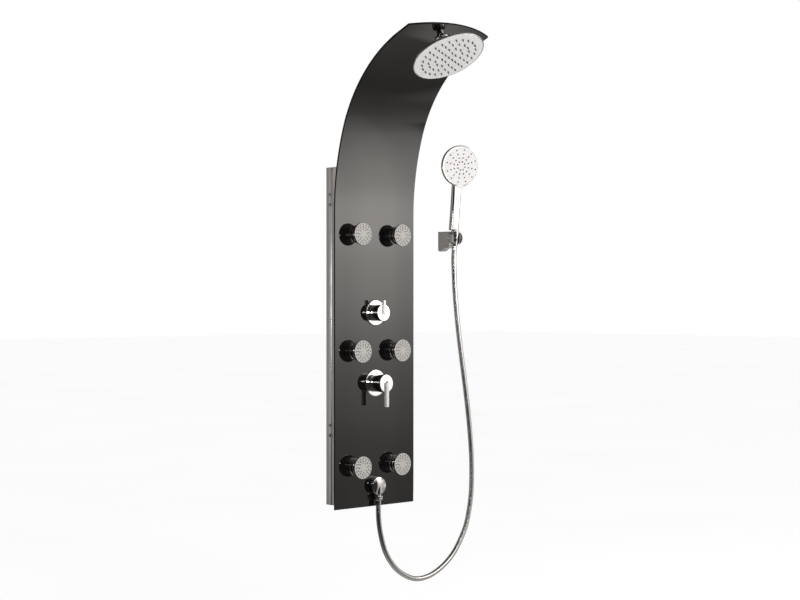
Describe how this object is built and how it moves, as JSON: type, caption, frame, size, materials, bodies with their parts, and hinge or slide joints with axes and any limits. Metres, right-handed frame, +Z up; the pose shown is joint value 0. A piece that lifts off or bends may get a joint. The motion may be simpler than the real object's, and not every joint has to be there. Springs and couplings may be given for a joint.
{
  "type": "rainfall shower column",
  "caption": "Wall shower column: bent glass panel on rails with overhead rain head, swivelling body jets, mixer, diverter and a hand shower on a hose in its own wall bracket.",
  "frame": {"origin": "centre of the upper wall hanger's rear face, on the wall, 850 mm above the glass panel's bottom edge", "axes": "+Z up, +Y into the wall, so the column faces -Y, and +X to the right of someone facing it, towards the hand shower"},
  "size_m": [0.521, 0.433, 1.5431],
  "materials": {
    "glass": "polished",
    "aluminium": "satin",
    "steel": "satin",
    "chrome": "polished",
    "brass": "satin",
    "dark_plastic": "matte",
    "supply_tube": "satin",
    "chromed_plastic": "polished",
    "jet_face": "satin",
    "spray_face": "satin"
  },
  "bodies": {
    "column": {"glass_panel": "glass", "side_rail_left": "aluminium", "side_rail_right": "aluminium", "cross_brace": "steel", "wall_hanger_lower": "steel", "wall_hanger_upper": "steel", "side_screw_left_lower_low": "chrome", "side_screw_left_lower_high": "chrome", "side_screw_left_upper_low": "chrome", "side_screw_left_upper_high": "chrome", "side_screw_right_lower_low": "chrome", "side_screw_right_lower_high": "chrome", "side_screw_right_upper_low": "chrome", "side_screw_right_upper_high": "chrome", "mixer_plate": "chrome", "diverter_plate": "chrome", "hose_outlet": "chrome", "hose_nut_lower": "chrome", "rain_arm": "chrome", "mixer_body": "brass", "diverter_body": "brass", "rain_inlet_elbow": "brass", "jet_nut_lower_left": "brass", "jet_nut_lower_right": "brass", "jet_nut_middle_left": "brass", "jet_nut_middle_right": "brass", "jet_nut_upper_left": "brass", "jet_nut_upper_right": "brass", "mixer_cartridge": "dark_plastic", "diverter_cartridge": "dark_plastic", "mixer_to_diverter_pipe": "supply_tube", "jet_pipe_left": "supply_tube", "jet_pipe_right": "supply_tube", "outlet_pipe": "supply_tube", "riser_pipe": "supply_tube", "jet_base_lower_left": "chromed_plastic", "jet_base_lower_right": "chromed_plastic", "jet_base_middle_left": "chromed_plastic", "jet_base_middle_right": "chromed_plastic", "jet_base_upper_left": "chromed_plastic", "jet_base_upper_right": "chromed_plastic", "wall_bracket": "chromed_plastic", "shower_hose": "chromed_plastic"},
    "mixer_hub": {"mixer_hub": "chrome"},
    "mixer_lever": {"mixer_lever": "chrome"},
    "diverter_knob": {"diverter_knob": "chrome", "diverter_rod": "chrome"},
    "jet_lower_left": {"jet_head_lower_left": "jet_face"},
    "jet_lower_right": {"jet_head_lower_right": "jet_face"},
    "jet_middle_left": {"jet_head_middle_left": "jet_face"},
    "jet_middle_right": {"jet_head_middle_right": "jet_face"},
    "jet_upper_left": {"jet_head_upper_left": "jet_face"},
    "jet_upper_right": {"jet_head_upper_right": "jet_face"},
    "rain_collar": {"rain_collar": "chrome"},
    "rain_head": {"rain_head": "chromed_plastic", "rain_spray_plate": "spray_face"},
    "holder": {"holder_clip": "chromed_plastic", "hose_nut_upper": "chrome"},
    "handset": {"handset_body": "chromed_plastic", "handset_spray_plate": "spray_face"}
  },
  "joints": [
    {"name": "mixer_turn", "type": "hinge", "parent": "column", "child": "mixer_hub", "pos_m": [0, -0.08, -0.507], "axis": [0, 1, 0], "range_deg": [-45, 45]},
    {"name": "mixer_lift", "type": "hinge", "parent": "mixer_hub", "child": "mixer_lever", "pos_m": [0, -0.099, -0.507], "axis": [-1, 0, 0], "range_deg": [0, 25]},
    {"name": "diverter_turn", "type": "hinge", "parent": "column", "child": "diverter_knob", "pos_m": [0, -0.08, -0.311], "axis": [0, 1, 0], "range_deg": [-90, 90]},
    {"name": "jet_nod_lower_left", "type": "hinge", "parent": "column", "child": "jet_lower_left", "pos_m": [-0.073, -0.066, -0.736], "axis": [1, 0, 0], "range_deg": [-15, 15]},
    {"name": "jet_nod_lower_right", "type": "hinge", "parent": "column", "child": "jet_lower_right", "pos_m": [0.073, -0.066, -0.736], "axis": [1, 0, 0], "range_deg": [-15, 15]},
    {"name": "jet_nod_middle_left", "type": "hinge", "parent": "column", "child": "jet_middle_left", "pos_m": [-0.073, -0.066, -0.417], "axis": [1, 0, 0], "range_deg": [-15, 15]},
    {"name": "jet_nod_middle_right", "type": "hinge", "parent": "column", "child": "jet_middle_right", "pos_m": [0.073, -0.066, -0.417], "axis": [1, 0, 0], "range_deg": [-15, 15]},
    {"name": "jet_nod_upper_left", "type": "hinge", "parent": "column", "child": "jet_upper_left", "pos_m": [-0.073, -0.066, -0.094], "axis": [1, 0, 0], "range_deg": [-15, 15]},
    {"name": "jet_nod_upper_right", "type": "hinge", "parent": "column", "child": "jet_upper_right", "pos_m": [0.073, -0.066, -0.094], "axis": [1, 0, 0], "range_deg": [-15, 15]},
    {"name": "rain_nod", "type": "hinge", "parent": "column", "child": "rain_collar", "pos_m": [0, -0.33271, 0.39316], "axis": [1, 0, 0], "range_deg": [-7.5, 22.5]},
    {"name": "rain_spin", "type": "hinge", "parent": "rain_collar", "child": "rain_head", "pos_m": [0, -0.33271, 0.39316], "axis": [0, -0.4924, -0.8704], "continuous": true},
    {"name": "holder_tilt", "type": "hinge", "parent": "column", "child": "holder", "pos_m": [0.2985, -0.061, -0.0955], "axis": [1, 0, 0], "range_deg": [-8, 12], "deforming": ["shower_hose"]},
    {"name": "handset_twist", "type": "hinge", "parent": "holder", "child": "handset", "pos_m": [0.2985, -0.061, -0.0955], "axis": [0, -0.0958, 0.9954], "range_deg": [-60, 60]}
  ]
}
